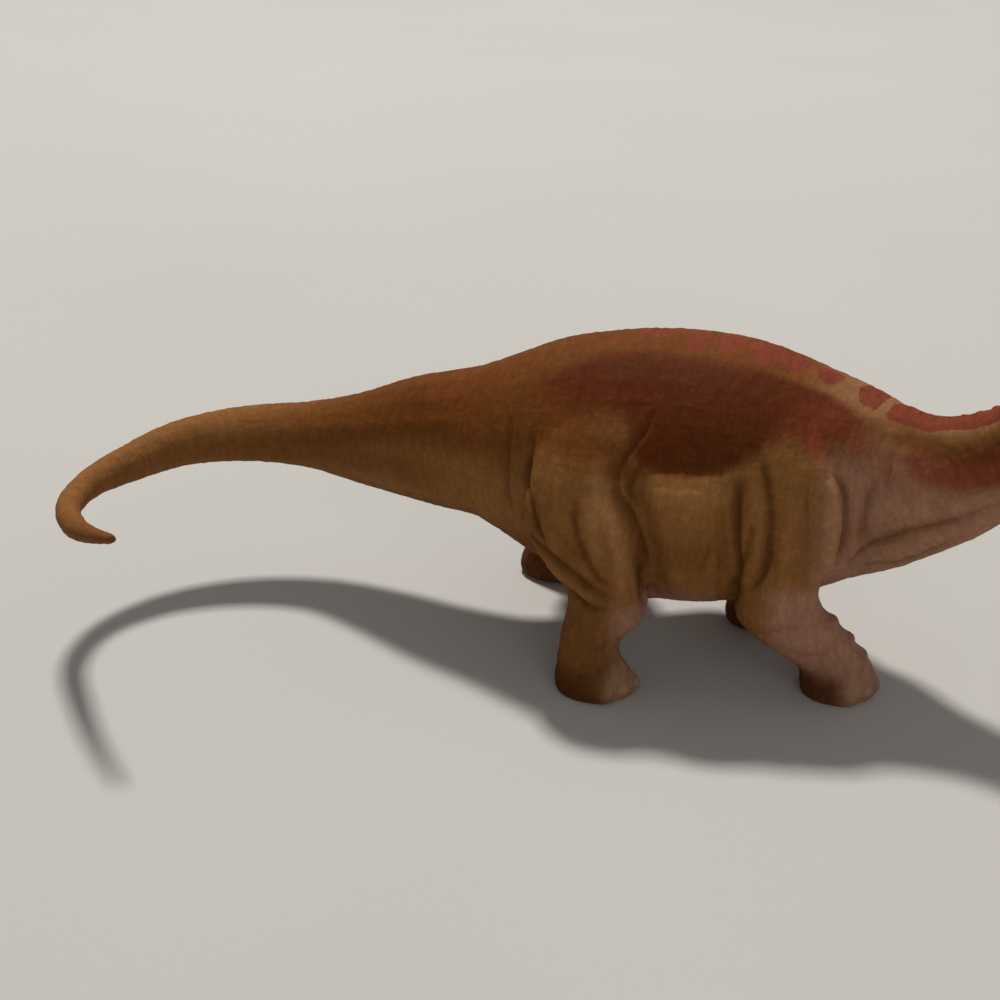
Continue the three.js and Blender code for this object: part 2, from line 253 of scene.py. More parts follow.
def distance_to(line, spots):
    """Each spot's distance from a line, and how far along the line that is, from 0 to 1."""
    best = np.full(len(spots), np.inf)
    share = np.zeros(len(spots))
    for index, (start, end) in enumerate(zip(line[:-1], line[1:])):
        along = end - start
        t = np.clip((spots - start) @ along / (along @ along), 0, 1)
        distance = np.linalg.norm(spots - start - t[:, None] * along, axis=1)
        nearer = distance < best
        best[nearer] = distance[nearer]
        share[nearer] = (index + t[nearer]) / (len(line) - 1)
    return best, share


# The backbone, from the tail tip to the muzzle. Each spot of the skin has a place along it,
# counted from the belly, and a drop, the way down round the body from the line of the back.
BACKBONE = [
    (-95.8, -56.8, 38.7), (-113.2, -37.5, 30.6), (-122.0, -13.0, 28.3), (-110.0, 7.5, 30.3),
    (-84.0, 15.6, 31.3), (-56.0, 7.2, 36.1), (-28.0, 1.1, 39.0), (0.0, 0.0, 38.7),
    (27.0, -4.1, 40.3), (46.5, -10.9, 44.9), (62.0, -19.0, 57.8), (75.5, -31.0, 74.5),
    (88.0, -43.5, 85.2), (99.8, -54.3, 81.9),
]
BELLY_POINT = 7
BACKBONE_STEPS = 20
backbone = smooth_line(BACKBONE, BACKBONE_STEPS)
steps_along = np.linalg.norm(np.diff(backbone, axis=0), axis=1)
lengths = np.concatenate([[0], np.cumsum(steps_along)])
lengths -= lengths[BACKBONE_STEPS * BELLY_POINT]
tangents = np.gradient(backbone, axis=0)
tangents /= np.linalg.norm(tangents, axis=1)[:, None]
sides = np.cross([0, 0, 1], tangents)
sides /= np.linalg.norm(sides, axis=1)[:, None]
ups = np.cross(tangents, sides)

# A spot takes its place from the backbone's points round the nearest one, so that it changes
# smoothly. The skin is worked through in parts, to spare memory.
BLEND_REACH = 1.5
AROUND_NEAREST = np.arange(-4, 5)
PARTS = 24
LEAST_GIRTH = 0.5
along, to_left, to_back = np.empty(len(place)), np.empty(len(place)), np.empty(len(place))
for part in np.array_split(np.arange(len(place)), PARTS):
    nearest = ((place[part, None] - backbone[None]) ** 2).sum(2).argmin(1)
    window = np.clip(nearest[:, None] + AROUND_NEAREST, 0, len(backbone) - 1)
    offset = place[part, None] - backbone[window]
    gaps = (offset ** 2).sum(2)
    weight = np.exp((gaps.min(1)[:, None] - gaps) / BLEND_REACH ** 2)
    weight /= weight.sum(1)[:, None]
    along[part] = (weight * lengths[window]).sum(1)
    to_left[part] = (weight * (offset * sides[window]).sum(2)).sum(1)
    to_back[part] = (weight * (offset * ups[window]).sum(2)).sum(1)
girth_radius = np.maximum(np.hypot(to_left, to_back), LEAST_GIRTH)
turn_down = np.arctan2(np.abs(to_left), to_back)
drop = turn_down * girth_radius
keel_gap = np.pi * girth_radius - drop
body_side = np.where(to_left > 0, 1.0, -1.0)

# Stance of the left legs: the share of its foot's shift that a leg takes at each height, and the
# shift itself, which puts the foot behind the right one
STANCE_HEIGHTS = [0, 5, 9, 14, 19, 25, 31, 39, 47, 53]
STANCE = {
    "hind": ([1.0, 0.97, 0.92, 0.81, 0.66, 0.5, 0.33, 0.18, 0.05, 0.0], -17.2),
    "fore": ([1.0, 0.96, 0.85, 0.65, 0.48, 0.35, 0.23, 0.12, 0.02, 0.0], -16.9),
}


def flank_place(leg):
    """Forward and height of each spot, with the left leg's stance taken back to the right leg's."""
    forward = place[:, 0].copy()
    if leg:
        shares, shift = STANCE[leg]
        taken = shift * np.interp(place[:, 2], STANCE_HEIGHTS, shares)
        forward -= np.where(body_side > 0, taken, 0)
    return np.stack([forward, place[:, 2]], 1)


# Folds on the flank: the leg whose stance each follows, depth and half width of its crease, and
# its line, forward and height. A negative depth is a raised fold.
FOLDS = [
    # front of the thigh, the hollow where the belly tucks in behind it, its raised edge, and the
    # small fold between it and the belly
    ("hind", 0.7, 0.6, [(-6.4, 56.5), (-8.2, 52.9), (-10.2, 49.9), (-12.0, 47.0), (-12.6, 44.0),
                        (-12.0, 41.0)]),
    ("hind", 1.1, 0.7, [(-12.5, 45.1), (-12.1, 42.2), (-10.7, 39.8), (-9.2, 36.9), (-7.8, 32.8),
                        (-6.8, 27.7), (-6.0, 22.0), (-5.4, 17.0)]),
    ("hind", 1.2, 2.2, [(-9.6, 46.0), (-9.0, 41.5), (-7.2, 37.5), (-5.8, 32.5), (-4.8, 27.0),
                        (-4.2, 17.0)]),
    ("hind", -0.8, 2.0, [(-14.8, 48.5), (-15.8, 45.0), (-15.0, 41.5), (-13.0, 37.5), (-11.4, 33.0),
                         (-10.2, 27.5), (-9.4, 21.5)]),
    ("hind", 0.8, 0.8, [(-7.5, 48.6), (-9.5, 45.2), (-10.2, 42.5), (-9.0, 39.6)]),
    # back of the thigh
    ("hind", 1.0, 0.8, [(-28.6, 51.0), (-29.9, 44.7), (-30.0, 41.0), (-28.8, 38.6), (-27.6, 36.2),
                        (-26.0, 33.4), (-23.5, 30.0)]),
    ("hind", 0.6, 0.7, [(-34.6, 50.5), (-34.7, 43.5), (-34.9, 38.5), (-34.4, 34.5), (-33.2, 31.3)]),
    # long folds down the thigh to the knee
    ("hind", 0.75, 0.6, [(-19.2, 43.0), (-19.5, 38.3), (-18.8, 35.2), (-17.7, 32.0), (-15.9, 28.9),
                        (-14.0, 26.6), (-10.5, 25.2)]),
    ("hind", 0.85, 0.7, [(-32.9, 32.0), (-29.8, 31.9), (-26.2, 30.7), (-22.6, 29.2), (-18.5, 26.8),
                        (-15.2, 24.6), (-11.0, 22.8)]),
    ("hind", -0.6, 1.4, [(-24.5, 27.6), (-20.5, 25.6), (-17.0, 23.6), (-13.6, 22.2)]),
    ("hind", -0.5, 1.6, [(-17.0, 42.0), (-16.8, 37.5), (-15.6, 33.0), (-13.6, 29.0)]),
    ("hind", 0.35, 0.5, [(-24.0, 36.6), (-21.0, 33.4), (-18.0, 29.4)]),
    ("hind", 0.3, 0.5, [(-13.9, 38.0), (-13.4, 33.5), (-12.2, 29.0)]),
    # behind the knee and round the ankle
    ("hind", 0.8, 0.6, [(-20.6, 23.2), (-19.0, 22.4), (-16.8, 21.2), (-15.2, 20.6), (-12.4, 20.4)]),
    ("hind", 0.4, 0.5, [(-19.0, 5.6), (-17.0, 5.9), (-15.0, 6.6), (-13.0, 7.4), (-11.4, 7.8)]),
    ("hind", 0.25, 0.5, [(-19.0, 10.6), (-15.6, 11.0), (-11.5, 12.6)]),
    # upper edge of the belly, with a fine crease under it and a short one low down
    (None, 0.4, 0.9, [(-8.8, 44.4), (-6.6, 46.2), (-2.0, 46.7), (2.5, 46.6), (6.4, 47.3),
                      (8.6, 47.0)]),
    (None, 0.1, 0.5, [(-7.4, 42.4), (-4.2, 43.9), (-1.4, 43.5), (1.4, 44.0), (4.2, 43.4),
                      (7.0, 43.9)]),
    (None, 0.35, 0.5, [(5.0, 35.6), (4.6, 31.8), (3.2, 28.4)]),
    # front end of the belly, and the narrow folds between it and the foreleg
    (None, 1.2, 0.7, [(9.0, 48.5), (9.4, 44.4), (9.5, 39.6), (9.6, 34.2), (10.2, 28.4), (9.4, 22.0),
                      (8.8, 17.0)]),
    (None, 0.7, 1.9, [(8.6, 43.0), (8.4, 40.0), (8.3, 35.0), (8.4, 29.0), (7.6, 20.0)]),
    (None, 0.6, 0.6, [(12.8, 40.0), (12.0, 35.0), (11.2, 30.6), (10.0, 26.0)]),
    (None, -0.45, 1.2, [(11.9, 47.5), (12.8, 42.5), (13.4, 37.0), (13.2, 31.0), (12.0, 26.0)]),
    ("fore", 0.8, 0.6, [(12.0, 52.0), (13.5, 48.7), (14.6, 45.2), (15.5, 41.4), (15.7, 36.9),
                        (15.4, 31.3), (13.9, 27.0), (11.0, 23.4)]),
    # shoulder and upper foreleg, with the long pale bulge
    ("fore", -0.45, 1.4, [(18.2, 47.0), (18.6, 41.0), (18.6, 34.5), (17.6, 28.0)]),
    ("fore", 0.35, 0.5, [(20.8, 47.5), (21.7, 42.6), (22.1, 37.0), (22.1, 31.6)]),
    ("fore", 0.75, 1.7, [(22.6, 48.5), (23.0, 43.0), (23.0, 37.0), (22.6, 31.0), (22.4, 26.0)]),
    ("fore", -1.1, 1.4, [(25.0, 46.8), (26.2, 42.4), (26.5, 37.5), (26.1, 32.0), (25.0, 26.0)]),
    ("fore", 0.7, 0.6, [(25.6, 48.4), (27.9, 44.0), (28.5, 40.0), (28.4, 34.5), (27.2, 28.0)]),
    (None, 0.6, 0.9, [(33.4, 47.4), (32.2, 42.6), (31.7, 38.0), (31.2, 32.6)]),
    (None, 0.3, 0.6, [(36.6, 53.5), (35.4, 48.5), (34.4, 43.5)]),
    ("fore", 0.3, 0.7, [(20.0, 27.4), (20.9, 22.6), (21.3, 18.6)]),
    ("fore", 0.5, 1.6, [(11.4, 23.0), (14.6, 21.4), (18.0, 21.2)]),
    ("fore", 0.35, 0.7, [(14.8, 15.0), (17.2, 17.0), (19.2, 18.0), (22.1, 18.4), (25.4, 18.7)]),
    ("fore", 0.25, 0.5, [(22.5, 11.0), (25.5, 12.0), (28.4, 11.6)]),
    # chest and throat
    (None, 0.6, 0.7, [(28.4, 26.0), (30.4, 29.6), (32.4, 32.4), (34.6, 34.2), (37.2, 35.6),
                      (40.9, 37.4), (45.4, 39.2), (49.7, 41.7), (56.0, 46.4)]),
    (None, -0.5, 1.3, [(32.0, 36.0), (34.0, 36.8), (38.5, 39.0), (43.5, 41.2), (50.0, 44.6)]),
    (None, 0.5, 0.6, [(28.6, 26.4), (33.9, 28.4), (37.3, 28.8), (41.0, 30.4), (44.8, 33.0),
                      (51.0, 38.0)]),
]

# Painted shade darkens a fold's crease and the wider hollow round it, and a painted highlight
# lightens its crest
HOLLOW_SHADE_MARGIN = 1.4
CREASE_SHADE_BREADTH = 0.9
WIDEST_SHADED_CREASE = 1.5
FOLD_END = 0.25
rise = np.zeros(len(place))
crease, hollow, crest = np.zeros(len(place)), np.zeros(len(place)), np.zeros(len(place))
outward = ease(0.0, 0.4, normal[:, 1] * body_side)
for leg, depth, width, points in FOLDS:
    spots = flank_place(leg)
    line = smooth_line(points)
    reach = 3.5 * width + 1.5  # past this a fold is too faint to count
    low, high = line.min(0) - reach, line.max(0) + reach
    near = np.where(np.all((spots > low) & (spots < high), axis=1) & (outward > 0))[0]
    distance, share = distance_to(line, spots[near])
    taper = np.sqrt(ease(0, FOLD_END, share) * ease(0, FOLD_END, 1 - share)) * outward[near]
    rise[near] -= depth * bell(distance / width) * taper
    if depth > 0:
        hollow_shade_dip = min(depth, 1) * bell(distance / (width + HOLLOW_SHADE_MARGIN)) * taper
        hollow[near] = np.maximum(hollow[near], hollow_shade_dip)
    if depth > 0 and width < WIDEST_SHADED_CREASE:
        crease_shade_mark = min(1.2 * depth, 1) * bell(distance / (CREASE_SHADE_BREADTH * width)) * taper
        crease[near] = np.maximum(crease[near], crease_shade_mark)
    if depth < 0:
        crest[near] = np.maximum(crest[near], -depth * bell(distance / width) * taper)

# Thigh, upper belly and shoulder swell between their folds: the leg whose stance each follows,
# where, reach and height, with forward before up
SWELLINGS = [
    ("hind", (-21.0, 38.0), (7.5, 9.5), 1.0),
    (None, (0.3, 42.4), (7.5, 3.0), 0.5),
    ("fore", (24.0, 24.5), (4.5, 6.0), 0.5),
]
for leg, middle, reach, amount in SWELLINGS:
    across, upward = ((flank_place(leg) - middle) / reach).T
    rise += amount * outward * bell(across) * bell(upward)

# The belly is a square pad with round corners
BELLY_PAD, BELLY_PAD_MIDDLE, BELLY_PAD_REACH = 1.1, (1.6, 34.6), (7.6, 11.5)
across, upward = ((place[:, [0, 2]] - BELLY_PAD_MIDDLE) / BELLY_PAD_REACH).T
rise += BELLY_PAD * outward * bell(across ** 2) * bell(upward ** 2)

# Rolls of skin run round the front of the forearm, and one pads the front of the shank
ROLLS = [
    ("fore", (28.3, 17.2), 1.2, 0.8), ("fore", (31.3, 13.2), 1.2, 0.8),
    ("fore", (34.0, 9.2), 1.1, 0.6), ("hind", (-8.6, 15.8), 2.4, 0.8),
]
for leg, middle, reach, amount in ROLLS:
    rise += amount * bell(np.hypot(*(flank_place(leg) - middle).T) / reach)

# The chest bulges a little under the root of the neck
CHEST_SWELL, CHEST_PLACE, CHEST_TOP = 0.9, 36, 36
chest = bell((along - CHEST_PLACE) / 8) * bell(keel_gap / 11) * (place[:, 2] < CHEST_TOP)
rise += CHEST_SWELL * chest

# Low knobs run down the ridge of the back and neck, and fine scutes under the root of the tail
KNOB_SPACING, KNOB_HEIGHT, KNOB_REACH = 3.5, 0.3, 0.75
SCUTE_SPACING, SCUTE_HEIGHT, SCUTE_REACH = 1.4, 0.14, 2.2
ridge_knobs = bell(drop / KNOB_REACH) * span(along, 12, 36, 86, 96)
rise += KNOB_HEIGHT * ridge_knobs * ease(0.2, 0.9, np.cos(2 * np.pi * along / KNOB_SPACING))
tail_keel = bell(keel_gap / SCUTE_REACH) * span(along, -82, -66, -40, -34)
rise += SCUTE_HEIGHT * tail_keel * np.cos(2 * np.pi * along / SCUTE_SPACING)

place += normal * rise[:, None]

# Feet: five blunt toes round the front of each, with a flat nail on each toe. The toes' angles are
# counted outwards from straight ahead, and a foot's reach in radii of its sole.
SOLE_SLACK = 0.05 * mm
FOOT_TOP = 12
FOOT_REACH = 1.7
TOE_ANGLES = np.radians([-72, -38, -4, 30, 64])
TOE_SWELL, TOE_MIDDLE, TOE_HALF_WIDTH, TOE_HALF_HEIGHT = 0.55, 2.2, 1.9, 2.6
NAIL_STEP, NAIL_MIDDLE, NAIL_RIM, NAIL_FLAT, NAIL_SQUAT = 0.16, 2.4, 1.45, 1.1, 1.1
nail, heel, toe_tip = np.zeros(len(place)), np.zeros(len(place)), np.zeros(len(place))
for name in ("hindleg_right", "hindleg_left", "foreleg_right", "foreleg_left"):
    corners = np.array([v.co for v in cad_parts[name].data.vertices])
    sole = (corners[corners[:, 2] < SOLE_SLACK] - zero) / mm
    middle = (sole.min(0) + sole.max(0)) / 2
    radius = (sole[:, 0].max() - sole[:, 0].min()) / 2
    from_middle = place[:, :2] - middle[:2]
    reach = np.linalg.norm(from_middle, axis=1)
    here = (reach < FOOT_REACH * radius) & (place[:, 2] < FOOT_TOP)
    outer = 1 if middle[1] > 0 else -1
    angle = np.arctan2(outer * from_middle[:, 1], from_middle[:, 0])
    sidewards = normal * (1, 1, 0)
    size = np.linalg.norm(sidewards, axis=1)
    sidewards /= np.maximum(size, 0.001)[:, None]
    push = np.zeros(len(place))
    for toe in TOE_ANGLES:
        turn = radius * (angle - toe)
        toe_rise = (place[:, 2] - TOE_MIDDLE) / TOE_HALF_HEIGHT
        from_nail = np.hypot(turn, NAIL_SQUAT * (place[:, 2] - NAIL_MIDDLE))
        plate = ease(NAIL_RIM, NAIL_FLAT, from_nail)
        push += TOE_SWELL * bell(turn / TOE_HALF_WIDTH) * bell(toe_rise) + NAIL_STEP * plate
        nail[here] = np.maximum(nail[here], plate[here])
    push *= here * ease(0.2, 0.8, size) * ease(0.55, 0.85, reach / radius)
    place += sidewards * push[:, None]
    ahead = from_middle[:, 0] / radius
    heel[here] = (ease(10.5, 3.5, place[:, 2]) * ease(0.75, -0.25, ahead))[here]
    toe_tip[here] = (ease(10, 4, place[:, 2]) * ease(0.05, 0.7, ahead))[here]

# Head: lids round the eyes, a mouth line, and nostrils, each placed forward, out and up from a
# point between the eyes
BETWEEN_EYES = np.array([88.4, -43.9, 85.2])
HEAD_LENGTH = 24
HEAD_FORWARD = np.array([0.731, -0.680, -0.05])
HEAD_FORWARD /= np.linalg.norm(HEAD_FORWARD)
HEAD_SIDE = np.cross([0, 0, 1], HEAD_FORWARD)
HEAD_SIDE /= np.linalg.norm(HEAD_SIDE)
HEAD_UP = np.cross(HEAD_FORWARD, HEAD_SIDE)
EYE_OUT, EYE_UP = 4.75, 1.7
NOSTRIL = 8.4, 2.1, 2.9
LID_RADIUS, LID_GROOVE, NOSTRIL_RIM = 2.15, 1.55, 1.1
on_head = along > lengths[-1] - HEAD_LENGTH
head_forward, head_out, head_up = (
    (place - BETWEEN_EYES) @ axis for axis in (HEAD_FORWARD, HEAD_SIDE, HEAD_UP))


def from_pair(forward, out, up):
    """Each spot's distance from the nearer of two places, one on each side of the head."""
    return np.sqrt((head_forward - forward) ** 2 + (np.abs(head_out) - out) ** 2
                   + (head_up - up) ** 2)


to_eye = from_pair(0, EYE_OUT, EYE_UP)
to_nostril = from_pair(*NOSTRIL)
mouth_height = np.interp(head_forward, [-1, 3, 8, 14], [-1.2, -1.6, -1.3, -1.0])
mouth = bell((head_up - mouth_height) / 0.42) * ease(-1.5, 1.0, head_forward)
head_rise = 0.3 * bell((to_eye - LID_RADIUS) / 0.45) - 0.25 * bell((to_eye - LID_GROOVE) / 0.3)
head_rise -= 0.55 * mouth
head_rise += 0.3 * bell((to_nostril - NOSTRIL_RIM) / 0.5) - 0.55 * bell(to_nostril / 0.65)
place += normal * (head_rise * on_head)[:, None]
# Painted shade darkens the mouth line and the nostrils
crease = np.maximum(crease, on_head * np.maximum(mouth, bell(to_nostril / 0.6)))

place[:, 2] = np.maximum(place[:, 2], 0)
skin_mesh.vertices.foreach_set("co", (place * mm + zero).astype(np.float32).ravel())
skin_mesh.update()

# Wrinkles run over the whole skin, round the body and along it, and die out at the soles, on the
# nails and round the eyes. They follow the flow: the place along the backbone, to the left and up.


def keep_values(mesh, name, values):
    """Keeps a number or a vector for each of the mesh's points."""
    kind, key = ("FLOAT", "value") if values.ndim == 1 else ("FLOAT_VECTOR", "vector")
    kept = mesh.attributes.new(name, kind, "POINT")
    kept.data.foreach_set(key, values.astype(np.float32).ravel())


wrinkled = 1 - np.clip(nail + on_head * bell(to_eye / 2.6), 0, 1)
wrinkled *= ease(0.2, 1.6, place[:, 2])
flow = np.stack([along, to_left, to_back], 1) * mm
keep_values(skin_mesh, "wrinkled", wrinkled)
keep_values(skin_mesh, "flow", flow)


def maths(tree, operation, *values):
    """A sum on numbers that change over the skin."""
    return node(tree, "ShaderNodeMath", dict(enumerate(values)), operation=operation).outputs[0]


def vector_maths(tree, operation, *values):
    """The same on places or colours."""
    inputs = dict(enumerate(values))
    return node(tree, "ShaderNodeVectorMath", inputs, operation=operation).outputs[0]


def scaled(tree, vector, by):
    inputs = {0: vector, "Scale": by}
    return node(tree, "ShaderNodeVectorMath", inputs, operation="SCALE").outputs[0]


def wandering_lines(tree, spot, scale, breadth, strength):
    """Thin lines where a noise crosses its middle: the strength on a line, and 0 beside it."""
    field = node(tree, "ShaderNodeTexNoise", {
        "Vector": spot, "Scale": scale, "Detail": 1.0, "Roughness": 0.5}).outputs[0]
    return node(tree, "ShaderNodeMapRange", {
        "Value": maths(tree, "ABSOLUTE", maths(tree, "SUBTRACT", field, 0.5)),
        "From Min": 0.0, "From Max": breadth, "To Min": strength, "To Max": 0.0},
        interpolation_type="SMOOTHSTEP").outputs[0]


def wrinkle_tree():
    """Pushes the skin in along two families of lines, and keeps how deep each spot lies."""
    tree = bpy.data.node_groups.new("skin_wrinkles", "GeometryNodeTree")
    inputs = {}
    for name, kind, value in (
        ("Geometry", "NodeSocketGeometry", None),
        ("Spacing", "NodeSocketFloat", 1.6 * mm),
        ("Depth", "NodeSocketFloat", 0.15 * mm),
        ("Stretch", "NodeSocketFloat", 3.2),
        ("Breadth", "NodeSocketFloat", 0.16),
        ("Wander", "NodeSocketFloat", 1.0 * mm),
        ("Kept as", "NodeSocketString", "wrinkle"),
    ):
        socket = tree.interface.new_socket(name, in_out="INPUT", socket_type=kind)
        if value is not None:
            socket.default_value = value
        inputs[name] = socket
    tree.interface.new_socket("Geometry", in_out="OUTPUT", socket_type="NodeSocketGeometry")
    given = node(tree, "NodeGroupInput").outputs
    position = node(tree, "GeometryNodeInputPosition").outputs[0]
    flow_place = node(tree, "GeometryNodeInputNamedAttribute", {"Name": "flow"},
                      data_type="FLOAT_VECTOR").outputs["Attribute"]
    mask = node(tree, "GeometryNodeInputNamedAttribute", {"Name": "wrinkled"},
                data_type="FLOAT").outputs["Attribute"]
    drift = node(tree, "ShaderNodeTexNoise", {"Vector": position, "Scale": 160.0, "Detail": 1.0})
    centred = vector_maths(tree, "SUBTRACT", drift.outputs["Color"], (0.5, 0.5, 0.5))
    moved = vector_maths(tree, "ADD", flow_place, scaled(tree, centred, given["Wander"]))
    across = maths(tree, "DIVIDE", 1.0, given["Spacing"])
    lengthwise = maths(tree, "DIVIDE", across, given["Stretch"])
    lines = []
    for frequencies, strength in (((across, lengthwise, lengthwise), 1.0),
                                  ((lengthwise, across, across), 0.6)):
        scale = node(tree, "ShaderNodeCombineXYZ", dict(enumerate(frequencies))).outputs[0]
        stretched = vector_maths(tree, "MULTIPLY", moved, scale)
        lines.append(wandering_lines(tree, stretched, 1.0, given["Breadth"], strength))
    masked = maths(tree, "MULTIPLY", maths(tree, "MAXIMUM", *lines), mask)
    deep = maths(tree, "MULTIPLY", masked, maths(tree, "MULTIPLY", given["Depth"], -1.0))
    kept = node(tree, "GeometryNodeStoreNamedAttribute", {
        "Geometry": given["Geometry"], "Name": given["Kept as"], "Value": masked},
        data_type="FLOAT", domain="POINT").outputs[0]
    facing = node(tree, "GeometryNodeInputNormal").outputs[0]
    moved_skin = node(tree, "GeometryNodeSetPosition", {
        "Geometry": kept, "Offset": scaled(tree, facing, deep)}).outputs[0]
    node(tree, "NodeGroupOutput", {0: moved_skin})
    return tree, inputs


# Broad wrinkles first, then the fine ones between them: spacing, depth, stretch and breadth
WRINKLES = {
    "broad_wrinkles": (4.4 * mm, 0.09 * mm, 2.4, 0.11),
    "fine_wrinkles": (1.5 * mm, 0.10 * mm, 3.6, 0.13),
}
wrinkle_nodes, wrinkle_inputs = wrinkle_tree()
for name, sizes in WRINKLES.items():
    wrinkles = skin.modifiers.new(name, "NODES")
    wrinkles.node_group = wrinkle_nodes
    for socket, value in zip(("Spacing", "Depth", "Stretch", "Breadth"), sizes):
        wrinkles[wrinkle_inputs[socket].identifier] = value
    wrinkles[wrinkle_inputs["Kept as"].identifier] = name
finished_skin = baked_mesh(skin)
bpy.data.objects.remove(skin)

# Paint masks
# The vinyl is sand coloured and airbrushed: a rust saddle on the flank, an orange brown tint on the
# tail, rump and back, coral red blotches that run together on the neck, and darker heels. Painted
# shade and highlights lie over these, in the folds and under the tail, belly and chest.

forward, height = place[:, 0], place[:, 2]
hind_forward, fore_forward = flank_place("hind")[:, 0], flank_place("fore")[:, 0]
outside = ease(-0.1, 0.25, normal[:, 1] * body_side)
round_share = turn_down / np.pi
flank, hind_flank, fore_flank = (forward, height), (hind_forward, height), (fore_forward, height)
down_back, body_round = (forward, drop), (along, round_share)


def spray(skin_place, middle, reach):
    """An oval spray of paint, strongest in its middle and gone at twice its reach."""
    across = bell((skin_place[0] - middle[0]) / reach[0])
    return across * bell((skin_place[1] - middle[1]) / reach[1])


def strongest(*masks):
    """The highest of the masks at each spot."""
    return np.maximum.reduce(masks)


# Coral band on the neck's ridge, and blotches on the back's: place along the back, half length,
# how far down they reach, strength
NECK_BAND_START = 38.4
BLOTCHES = [
    (-9.0, 3.6, 3.2, 0.75), (-0.6, 2.0, 6.6, 1.0), (5.5, 2.7, 6.4, 1.0), (12.8, 3.4, 5.8, 1.0),
    (18.4, 3.2, 4.8, 1.0), (26.0, 2.8, 3.6, 1.0), (34.6, 3.0, 4.6, 1.0),
]
neck_reach = np.interp(along, [38, 60, 88, 108, 118], [5.0, 4.8, 4.0, 2.6, 1.0])
neck_reach -= bell((along - 55) / 6)
red = span(along, NECK_BAND_START, NECK_BAND_START + 2.0, 100, 120)
red *= ease(0.8, -0.8, drop - neck_reach)
for where, half_length, reach, strength in BLOTCHES:
    across = np.hypot((along - where) / half_length, drop / reach)
    red = np.maximum(red, strength * ease(1.45, 0.6, across))

# Rust saddle between the hip and the shoulder, from a line down the side of the back to the upper
# edge of the belly, each with its own soft edge
saddle_top = np.interp(along, [-26, -18, -11, -3, 6, 10, 17, 22, 27, 34],
                       [10.5, 8.0, 7.8, 8.8, 9.2, 8.6, 7.6, 6.6, 6.0, 6.6])
top_blur = np.interp(along, [-20, 0, 18], [3.7, 3.3, 1.9])
saddle_foot = np.interp(
    forward, [-26, -16, -12.2, -8.3, -3.8, 0.7, 5.0, 9.1, 11.9, 13.4, 17.1, 21, 26, 32],
    [54.0, 54.2, 52.4, 47.0, 46.4, 46.4, 47.2, 48.8, 50.2, 51.8, 53.0, 51.6, 50.2, 49.0])
foot_blur = np.interp(forward, [-26, -14, -7, 9, 14, 30], [7.0, 5.0, 2.3, 2.3, 4.5, 6.0])
saddle = ease(-1, 1, (height - saddle_foot) / foot_blur)
saddle *= ease(-1, 1, (drop - saddle_top) / top_blur)
saddle *= span(forward, -43, -20, 21, 43) * outside * (along < 42)

# A rosy streak runs down each side of the neck, with a brown one between it and the band
streak_drop = np.interp(along, [44, 50, 55, 62, 80, 110], [10.5, 10.6, 11.6, 12.6, 9.5, 6.0])
neck_streak = bell((drop - streak_drop) / 3.6) * span(along, 39, 49, 90, 112)
neck_brown = 0.95 * bell((drop - streak_drop + 3.8) / 3.0) * span(along, 31, 47, 90, 112)

# A spot on the hip stays nearly free of rust and tint. The saddle is darkest above the front of
# the belly and in two spots higher up.
hip_spot = 0.5 * spray(flank, (-13.0, 52.6), (5.5, 3.6))
rust = (1 - hip_spot) * strongest(
    saddle,
    0.95 * neck_streak * ease(46, 62, along),
    0.4 * spray(body_round, (-53, 0.2), (11, 0.12)))
dark = (1 - hip_spot) * strongest(
    saddle * bell((forward - 7.5) / 9.0) * ease(60, 54, height),
    0.7 * saddle * span(forward, -12, -4, 10, 16),
    0.9 * saddle * spray(down_back, (-12, 11.5), (9, 4.5)),
    0.9 * saddle * spray(down_back, (15, 11), (7, 4)),
    0.55 * neck_streak * ease(50, 66, along),
    0.5 * neck_brown * ease(38, 54, along))

# Rosy spots on the shoulder, the chest and the withers
rosy = strongest(
    neck_streak,
    outside * spray(fore_flank, (22.0, 52.0), (1.7, 2.8)),
    0.6 * outside * spray(flank, (29.5, 51.4), (2.0, 3.2)),
    0.55 * outside * spray(flank, (38, 47.5), (9.0, 4.5)),
    0.6 * outside * spray(flank, (22.5, 55.0), (8.0, 3.6)))

# Orange brown over the upper half of the tail, the rump and the back, fading out to the tail tip.
# The upper thigh stays free of it.
pad_top = np.interp(hind_forward, [-31, -24, -17, -11], [44.8, 46.4, 45.4, 43.0])
thigh_pad = outside * span(hind_forward, -36, -29, -13, -8)
thigh_pad *= ease(pad_top + 4.0, pad_top - 3.0, height)
tail_tint = span(along, -124, -58, -24, -6)
tail_tint *= ease(0.56, 0.32, round_share - 0.10 * ease(-58, -80, along))
tip_tint = np.interp(along, [-175, -148, -104, -80], [0.6, 0.05, 0.2, 0])
hip_tint = outside * ease(40, 46, height) * span(forward, -46, -37, -14, -2)
back_tint = ease(saddle_top + 3, saddle_top, drop) * span(along, -32, -20, 12, 38)
tint = strongest(tail_tint, tip_tint, hip_tint, back_tint) * (1 - thigh_pad) * (1 - hip_spot)
sunset = strongest(
    spray(body_round, (-42, 0.2), (13, 0.14)),
    0.8 * back_tint * ease(saddle_top, saddle_top - 3, drop))
